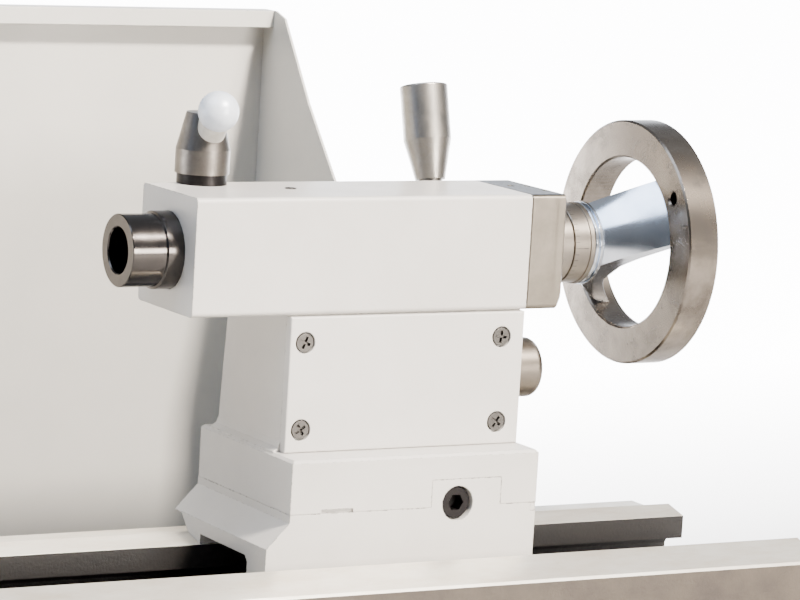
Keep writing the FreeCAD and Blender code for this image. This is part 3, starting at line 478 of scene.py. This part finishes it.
def bed_iron():
    material, tree, shader, place = begin("bed_iron", Roughness=0.5)
    normal = add(tree, "ShaderNodeNewGeometry", out="True Normal")
    upward = add(tree, "ShaderNodeSeparateXYZ", (normal,), out="Z")
    spot = add(tree, "ShaderNodeSeparateXYZ", (place,))
    tall, deep = spot.outputs["Z"], spot.outputs["Y"]
    up = add(tree, "ShaderNodeMapRange", (upward, 0.55, 0.62, 0.0, 1.0), out="Result")
    high = add(tree, "ShaderNodeMapRange", (tall, GROUND_ABOVE, GROUND_ABOVE + MM, 0.0, 1.0), out="Result")
    ground = add(tree, "ShaderNodeMath", (up, high), out=0, operation="MULTIPLY", use_clamp=True)
    front = add(tree, "ShaderNodeMapRange", (deep, MILLED_BEFORE, MILLED_BEFORE - 2 * MM, 0.0, 1.0),
                out="Result")
    level = add(tree, "ShaderNodeMapRange", (tall, MILLED_ABOVE, MILLED_ABOVE + MM, 0.0, 1.0), out="Result")
    milled = add(tree, "ShaderNodeMath", (front, level), out=0, operation="MULTIPLY", use_clamp=True)

    oily = add(tree, "ShaderNodeVectorMath", (place, OIL_STRETCH), out="Vector", operation="MULTIPLY")
    oil = patches(tree, oily, 14 * MM, 6.0, 0.7, (0.35, 0.65), (0.0, 1.0))
    thin_oil = patches(tree, oily, 14 * MM, 6.0, 0.7, (0.4, 0.7), (0.0, 0.8))
    cloud = patches(tree, place, 30 * MM, 6.0, 0.65, (0.35, 0.65), (0.0, 1.0))
    dark = add(tree, "ShaderNodeMix", {AMOUNT: oil, FIRST: linear("120E0C"), SECOND: linear("0A0808")},
               out=MIXED, data_type="RGBA")
    grey = add(tree, "ShaderNodeMix", {AMOUNT: cloud, FIRST: linear("4F463C"), SECOND: linear("3E362F")},
               out=MIXED, data_type="RGBA")
    bright = add(tree, "ShaderNodeMix",
                 {AMOUNT: thin_oil, FIRST: linear("F1EDE2"), SECOND: linear("DCD0BE")},
                 out=MIXED, data_type="RGBA")
    sides = add(tree, "ShaderNodeMix", {AMOUNT: milled, FIRST: dark, SECOND: grey},
                out=MIXED, data_type="RGBA")
    tone = add(tree, "ShaderNodeMix", {AMOUNT: ground, FIRST: sides, SECOND: bright},
               out=MIXED, data_type="RGBA")
    tree.links.new(tone, shader.inputs["Base Color"])

    metal = add(tree, "ShaderNodeMath", (ground, 0.75), out=0, operation="MULTIPLY")
    tree.links.new(metal, shader.inputs["Metallic"])
    gloss = add(tree, "ShaderNodeMapRange", (ground, 0.0, 1.0, 0.5, 0.33), out="Result")
    tree.links.new(gloss, shader.inputs["Roughness"])
    grains = {"Vector": place, "Scale": 1 / SAND_GRAIN, "Detail": 4.0, "Roughness": 0.6}
    sand = add(tree, "ShaderNodeTexNoise", grains, out="Fac")
    left_rough = add(tree, "ShaderNodeMapRange", (ground, 0.0, 1.0, 1.0, 0.05), out="Result")
    skin = add(tree, "ShaderNodeMath", (sand, left_rough), out=0, operation="MULTIPLY")
    finish_bump(tree, shader, skin, 0.25 * MM, 0.5 * MM)
    return material


iron = bed_iron()
print("ways are ground above", round(GROUND_ABOVE, 4), "m")

# %% [markdown]
# ## Giving the frame its surfaces
# Every solid of the frame gets one of the materials above. What isn't named here is a hidden or
# plain machined part, so plain steel is given first and then replaced by name.

# %% Surfaces by node
SURFACES = {
    casting_enamel: ["body_casting", "base_casting"],
    cover_enamel: ["cover_plate"],
    guard_enamel: ["splash_guard_back", "splash_guard_end"],
    tray_enamel: ["chip_tray"],
    iron: ["bed_casting"],
    bare_iron: ["clamp_plate", "feed_rack"],
    plate_steel: ["end_plate"],
    quill_steel: ["quill"],
    wheel_steel: ["handwheel"],
    dial_nickel: ["index_ring", "dial"],
    boss_steel: ["cam_hub"],
    lever_nickel: ["lock_hub"],
    rod_coat_painted_reflection: ["lock_rod"],
    grip_steel: ["lever_grip", "lever_arm"],
    ball_coat_painted_reflection: ["lock_ball"],
    zinc_plate: ["cover_screws", "guard_screws", "end_plate_top_screws", "oiler"],
    black_oxide: ["lock_collar", "set_over_screw", "end_plate_screws", "rack_screws", "tray_screws",
                  "clamp_nut", "clamp_washer"],
    bearing_bronze: ["quill_nut", "cam_bush_left", "cam_bush_right", "thrust_washer_inner",
                     "thrust_washer_outer"],
}


def dress(node, material):
    mesh = nodes[node].data
    mesh.materials.clear()
    mesh.materials.append(material)


for node in nodes:
    dress(node, plain_steel)
for material, names in SURFACES.items():
    for node in names:
        dress(node, material)
print("dressed", len(nodes), "nodes with", len(SURFACES) + 1, "materials")

# %% [markdown]
# ## Marks on the feed dial
# One turn of the wheel moves the quill 4 mm, so the dial carries 40 short marks of 0.1 mm, a
# longer one every 0.5 mm and a number every millimetre. They turn with the dial. A single line on
# the fixed ring beside it is what they are read against.

# %% Graduations and index line
BAND_RADIUS = 21.4 * MM
RING_RADIUS = 20.9 * MM
MARK_HEIGHT = 0.03 * MM
MARK_WIDTH = 0.28 * MM
INDEX_WIDTH = 0.35 * MM
INDEX_LENGTH = 4.0 * MM
INDEX_ANGLE = math.radians(40)
MARKS = 40
dial_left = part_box("dial")[0][0]
ring_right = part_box("index_ring")[1][0]


def around(x, radius, angle):
    """A frame at the surface: X along the axis, Z outwards, angle from the top towards the operator."""
    out = Vector((0.0, -math.sin(angle), math.cos(angle)))
    across = out.cross(Vector((1.0, 0.0, 0.0)))
    turn = Matrix((Vector((1.0, 0.0, 0.0)), across, out)).transposed().to_4x4()
    return Matrix.Translation(Vector((x, 0.0, axis_z)) + out * radius) @ turn


def strip(mesh, frame_at, length, width):
    """A thin block that starts at the frame and runs along its X."""
    block = bmesh.ops.create_cube(mesh, size=1.0)["verts"]
    shape = Matrix.Diagonal((length, width, MARK_HEIGHT, 1.0))
    bmesh.ops.transform(mesh, matrix=frame_at @ Matrix.Translation((length / 2, 0, 0)) @ shape, verts=block)


def marks_from(mesh, name, body):
    """Turns the strips into one inked piece that moves with `body`."""
    data = bpy.data.meshes.new(name)
    mesh.to_mesh(data)
    mesh.free()
    data.materials.append(mark_ink)
    made = put_in_scene(name, data)
    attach(made, body)


graduations = bmesh.new()
for step in range(MARKS):
    length = 4.6 if step % 10 == 0 else 3.6 if step % 5 == 0 else 2.4
    place = around(dial_left + 0.5 * MM, BAND_RADIUS, step * 2 * math.pi / MARKS)
    strip(graduations, place, length * MM, MARK_WIDTH)
marks_from(graduations, "dial_graduations", "dial")
index = bmesh.new()
strip(index, around(ring_right - 4.5 * MM, RING_RADIUS, INDEX_ANGLE), INDEX_LENGTH, INDEX_WIDTH)
marks_from(index, "index_line", "body")
print(MARKS, "marks on the dial")

# %% [markdown]
# The numbers are text objects, each turned so that its top is towards the quill. They are about
# 3 mm high and almost flat, so one lies on the round band within a few hundredths of a millimetre.

# %% Numbers
NUMBER_SIZE = 4.2 * MM
NUMBER_THICKNESS = 0.02 * MM
NUMBER_IN = 7.1 * MM
NUMBERS = 4

for number in range(NUMBERS):
    letters = bpy.data.curves.new("dial_number_%d" % number, "FONT")
    letters.body = str(number)
    letters.size = NUMBER_SIZE
    letters.extrude = NUMBER_THICKNESS
    letters.align_x = "CENTER"
    letters.align_y = "CENTER"
    letters.materials.append(mark_ink)
    sign = put_in_scene(letters.name, letters)
    place = around(dial_left + NUMBER_IN, BAND_RADIUS, number * 2 * math.pi / NUMBERS)
    sign.matrix_world = place @ Matrix.Rotation(math.radians(90), 4, "Z")
    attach(sign, "dial")
print(NUMBERS, "numbers")
